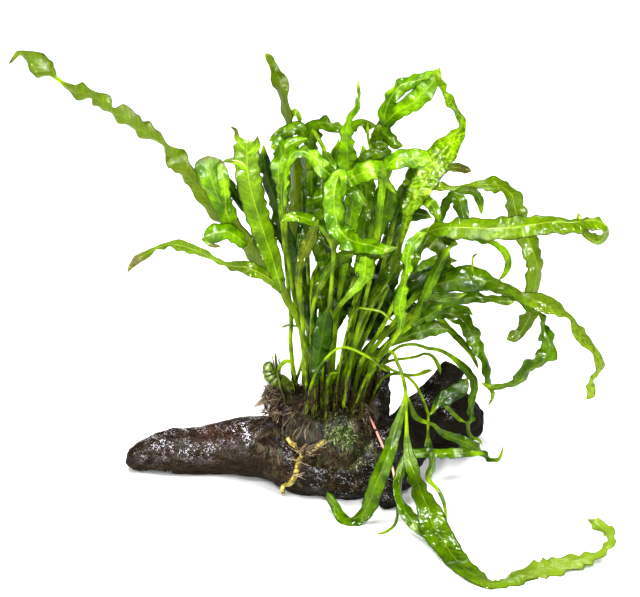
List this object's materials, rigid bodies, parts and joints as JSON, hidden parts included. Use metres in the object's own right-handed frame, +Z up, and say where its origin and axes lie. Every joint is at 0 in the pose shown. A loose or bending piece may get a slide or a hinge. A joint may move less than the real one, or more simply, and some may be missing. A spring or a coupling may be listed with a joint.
{
  "type": "java fern on driftwood",
  "caption": "Aquarium fern with long lobed fronds, rooted and tied on a forked piece of driftwood that stands on its flat underside.",
  "frame": {"origin": "on the flat underside of the trunk, below its middle", "axes": "+Z up; +X along the wood towards the drooping fronds; +Y away from the front"},
  "size_m": [0.3303, 0.2369, 0.2722],
  "materials": {
    "driftwood": "gloss",
    "roots": "satin",
    "runner": "gloss",
    "moss": "satin",
    "tie": "satin",
    "leaf_bright": "gloss",
    "leaf_mid": "gloss",
    "leaf_dark": "gloss",
    "leaf_olive": "gloss"
  },
  "bodies": {
    "root": {"wood_trunk": "driftwood", "wood_left_arm": "driftwood", "wood_right_limb": "driftwood", "wood_right_prong": "driftwood", "wood_rear_stump": "driftwood", "wood_front_foot": "driftwood", "root_mat": "roots", "root_tail": "roots", "rhizome": "leaf_mid", "rhizome_runner": "runner", "moss_tuft": "moss", "tie_band": "tie", "frond_left_trident": "leaf_bright", "frond_left_dark": "leaf_dark", "frond_top_left_tall": "leaf_olive", "frond_top_flat": "leaf_mid", "frond_bright_pair": "leaf_bright", "frond_gloss_diagonal": "leaf_bright", "frond_centre_pointed": "leaf_bright", "frond_upper_arch": "leaf_bright", "frond_speckled": "leaf_olive", "frond_bright_level": "leaf_bright", "frond_right_droop": "leaf_mid", "frond_right_straight": "leaf_bright", "frond_right_mid": "leaf_mid", "frond_twisted_thin": "leaf_mid", "frond_toothed_droop": "leaf_mid", "frond_wavy_down": "leaf_mid", "frond_inverted_v": "leaf_mid", "frond_centre_c": "leaf_bright", "frond_spoon": "leaf_bright", "frond_small_arch": "leaf_bright", "frond_yellow_ribbon": "leaf_olive", "frond_midrib": "leaf_mid", "frond_dark_bowl": "leaf_dark", "frond_mid_leaf": "leaf_bright", "frond_green_strap": "leaf_bright", "frond_low_olive": "leaf_dark", "frond_low_diagonal": "leaf_mid", "frond_dark_stub": "leaf_dark", "frond_mid_left": "leaf_mid", "frond_low_broad": "leaf_dark", "frond_dark_centre": "leaf_dark", "frond_thin_pale": "leaf_olive", "frond_front_down": "leaf_bright", "frond_over_limb": "leaf_mid", "frond_limb_leaf": "leaf_dark", "frond_limb_thin": "leaf_dark", "frond_arch_small": "leaf_olive", "frond_rear_left": "leaf_dark", "frond_rear_tall": "leaf_mid", "frond_rear_centre": "leaf_mid", "frond_rear_right": "leaf_dark", "frond_rear_far_right": "leaf_mid", "frond_rear_droop": "leaf_mid", "frond_rear_low_left": "leaf_dark", "frond_rear_low_right": "leaf_dark", "crozier_left": "leaf_bright", "crozier_centre": "leaf_mid", "sprout_left": "leaf_olive"}
  },
  "joints": []
}
